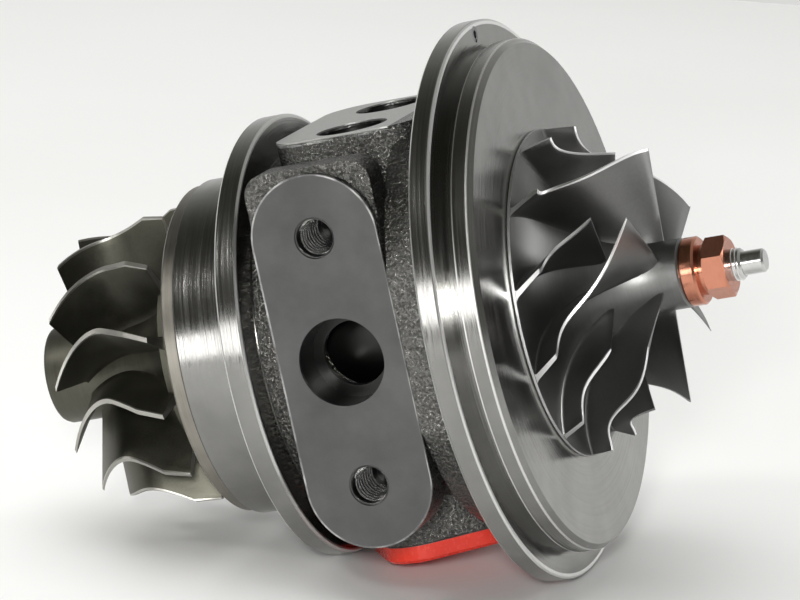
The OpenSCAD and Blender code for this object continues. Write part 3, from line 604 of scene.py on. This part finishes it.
def turbine_wheel():
    points, faces, edges = [], [], []
    boss_x = TURBINE_BACK_X - TURBINE_LEN - TURBINE_BOSS_LEN
    profile = [
        (WELD_X, CENTRE_R), (WELD_X, TURBINE_HUB_R), (TURBINE_BACK_X, TURBINE_HUB_R),
        (TURBINE_BACK_X, TURBINE_DISC_R)]
    disc_x = TURBINE_BACK_X - TURBINE_DISC_T
    hub_x = TURBINE_BACK_X - TURBINE_LEN - EDGE
    profile += [meridian(disc_x, TURBINE_DISC_R, hub_x, TURBINE_BOSS_R, i / HUB_STEPS)
                for i in range(HUB_STEPS + 1)]
    profile += [(boss_x + BOSS_EDGE, TURBINE_BOSS_R), (boss_x + BOSS_ROUND, TURBINE_BOSS_R - BOSS_ROUND),
                (boss_x, TURBINE_BOSS_R - BOSS_EDGE), (boss_x, CENTRE_R)]
    lathe(points, faces, profile[::-1], TURN_STEPS)
    for k in range(TURBINE_BLADES):
        angle = math.radians(TURBINE_ANGLE) + k * 2 * math.pi / TURBINE_BLADES
        edges += blade(points, faces, FLOW_STEPS, len(SPAN) - 1, turbine_place(angle), False)
    wheel = new_piece("turbine_wheel_fine", points, faces, "rotor", "turbine_alloy",
                      "turbine_edge_highlight", edges)
    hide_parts("turbine_wheel")


# Threads: a helical ridge on a cylinder about an axis, sizes in mm
THREAD_STEPS = 40
THREAD_BASE = 0.26


def thread(name, origin, axis, base_r, crest_r, length, pitch, body):
    out = Vector(axis)
    across = out.orthogonal().normalized()
    up = out.cross(across)
    start = Vector(origin)
    steps = int(length / pitch * THREAD_STEPS)
    points, faces = [], []
    for i in range(steps + 1):
        angle = 2 * math.pi * i / THREAD_STEPS
        along = pitch * i / THREAD_STEPS
        spoke = across * math.cos(angle) + up * math.sin(angle)
        half = THREAD_BASE * pitch
        for r, shift in ((base_r, -half), (crest_r, 0.0), (base_r, half)):
            points.append((start + spoke * r + out * (along + shift)) * MM)
    inward = crest_r < base_r
    for i in range(steps):
        for j in range(3):
            k = (j + 1) % 3
            quad = (3 * i + j, 3 * i + k, 3 * i + 3 + k, 3 * i + 3 + j)
            faces.append(quad if inward else quad[::-1])
    first = (0, 2, 1)
    last = (3 * steps, 3 * steps + 1, 3 * steps + 2)
    faces.append(first if inward else first[::-1])
    faces.append(last if inward else last[::-1])
    # The threads are painted light: bare metal with a painted highlight
    new_piece(name, points, faces, body, "thread_metal_and_glint")


# Each hole as base radius, crest radius and pitch
PAD_MM = (-25.2, 36.9, 22.9)
BOLT_HOLE = (3.45, 3.2, 1.25)
BOLT_THREAD_LEN = 11.0
BOLT_THREAD_IN = 12.6
TOP_MM = (-23.0, 11.5, 38.3)
TOP_HOLE = (6.65, 6.38, 1.5)
TOP_THREAD_LEN = 6.0
TOP_THREAD_IN = 7.6
SHAFT_THREAD = (2.85, 3.06, 0.75)
SHAFT_THREAD_X = 39.1
SHAFT_THREAD_LEN = 1.5


def threads():
    base_r, crest_r, pitch = BOLT_HOLE
    for pad, side in (("near", -1), ("far", 1)):
        for place, up in (("upper", 1), ("lower", -1)):
            origin = (PAD_MM[0], side * (PAD_MM[1] - BOLT_THREAD_IN), up * PAD_MM[2])
            name = "bolt_thread_" + pad + "_" + place
            thread(name, origin, (0, side, 0), base_r, crest_r, BOLT_THREAD_LEN, pitch,
                   "housing")
    base_r, crest_r, pitch = TOP_HOLE
    for port, side in (("near", -1), ("far", 1)):
        origin = (TOP_MM[0], side * TOP_MM[1], TOP_MM[2] - TOP_THREAD_IN)
        name = "top_thread_" + port
        thread(name, origin, (0, 0, 1), base_r, crest_r, TOP_THREAD_LEN, pitch, "housing")
    base_r, crest_r, pitch = SHAFT_THREAD
    thread("shaft_thread", (SHAFT_THREAD_X, 0, 0), (1, 0, 0), base_r, crest_r, SHAFT_THREAD_LEN, pitch,
           "rotor")


# Table, lights and surroundings
FLOOR_NORMAL = Vector((0.25, 0.0, 0.968))
FLOOR_SIZE = 0.62
FLOOR_CLOUDS = 5.0
FLOOR_DARK = (0.80, 0.80, 0.79, 1)
FLOOR_LIGHT = (0.84, 0.84, 0.835, 1)
FLOOR_ROUGH = 0.6


# The part lies on its flange, so the floor is tilted and just touches the lowest point
def make_floor():
    normal = FLOOR_NORMAL.normalized()
    along = Vector((0, 1, 0)).cross(normal)
    across = normal.cross(along)
    lowest = min(normal.dot(vertex.co) for node in nodes.values() for vertex in node.data.vertices)
    centre = normal * lowest
    signs = ((-1, -1), (1, -1), (1, 1), (-1, 1))
    corners = [centre + (along * a + across * b) * FLOOR_SIZE for a, b in signs]
    mesh = bpy.data.meshes.new("floor")
    mesh.from_pydata(corners, [], [(0, 1, 2, 3)])
    material, tree, shader, place = new_material("floor_pale", 0.0)
    clouds = noise(tree, place, FLOOR_CLOUDS, 3.0)
    tree.links.new(toned(tree, clouds, FLOOR_DARK, FLOOR_LIGHT), shader.inputs["Base Color"])
    shader.inputs["Roughness"].default_value = FLOOR_ROUGH
    mesh.materials.append(material)
    floor = bpy.data.objects.new("floor", mesh)
    scene.collection.objects.link(floor)


def area_light(name, at, aim, width, height, watts, colour):
    data = bpy.data.lights.new(name, "AREA")
    data.shape = "RECTANGLE"
    data.size = width
    data.size_y = height
    data.energy = watts
    data.color = colour
    light = bpy.data.objects.new(name, data)
    light.location = at
    light.rotation_euler = (Vector(aim) - Vector(at)).to_track_quat("-Z", "Y").to_euler()
    scene.collection.objects.link(light)
    return light


# A soft room: bright behind the part, dark above and in front of it, pale below
ROOM_BACK = (0.86, 0.86, 0.84, 1)
ROOM_FRONT = (0.10, 0.10, 0.09, 1)
ROOM_TOP = (0.075, 0.075, 0.06, 1)
ROOM_GROUND = (0.90, 0.90, 0.89, 1)
ROOM_STRENGTH = 0.8
ROOM_DEPTH = (-0.5, 0.5)
ROOM_HEIGHT = (0.35, 0.95)
ROOM_LOW = (-0.08, -0.14)


def make_world():
    world = bpy.data.worlds.new("studio")
    world.use_nodes = True
    tree = world.node_tree
    background = tree.nodes["Background"]
    place = tree.nodes.new("ShaderNodeTexCoord").outputs["Generated"]
    split = tree.nodes.new("ShaderNodeSeparateXYZ")
    tree.links.new(place, split.inputs[0])
    depth = span(tree, split.outputs[1], *ROOM_DEPTH)
    height = span(tree, split.outputs[2], *ROOM_HEIGHT)
    ground = span(tree, split.outputs[2], *ROOM_LOW)
    tone = blend_colours(tree, depth, ROOM_FRONT, ROOM_BACK)
    tone = blend_colours(tree, height, tone, ROOM_TOP)
    tone = blend_colours(tree, ground, tone, ROOM_GROUND)
    tree.links.new(tone, background.inputs["Color"])
    background.inputs["Strength"].default_value = ROOM_STRENGTH
    scene.world = world


# Name, place, aim, width, height, watts and colour of each light
LIGHTS = (
    ("window", (-0.50, -1.28, 0.30), (-0.02, 0.0, 0.0), 0.40, 0.36, 2.6, (1.0, 0.99, 0.98)),
    ("front", (0.29, -0.97, 0.23), (0.0, 0.0, 0.0), 0.12, 0.12, 7.0, (1.0, 1.0, 0.98)),
    ("right", (0.80, 0.58, 0.06), (0.0, 0.0, 0.0), 0.16, 0.30, 1.2, (1.0, 1.0, 1.0)),
    ("left", (-0.95, -0.65, 1.10), (0.0, 0.0, -0.02), 0.25, 0.25, 5.0, (1.0, 0.99, 0.97)),
)
CEILING = ("ceiling", (0.0, 0.0, 1.4), (0.0, 0.0, 0.0), 1.6, 1.6, 21.5, (1.0, 1.0, 1.0))


# The ceiling lights the table and isn't mirrored in the metal
def make_lights():
    for values in LIGHTS:
        area_light(*values)
    ceiling = area_light(*CEILING)
    ceiling.visible_glossy = False


make_camera()
compressor_wheel()
turbine_wheel()
threads()
make_floor()
make_world()
make_lights()
scene.view_settings.view_transform = "Standard"
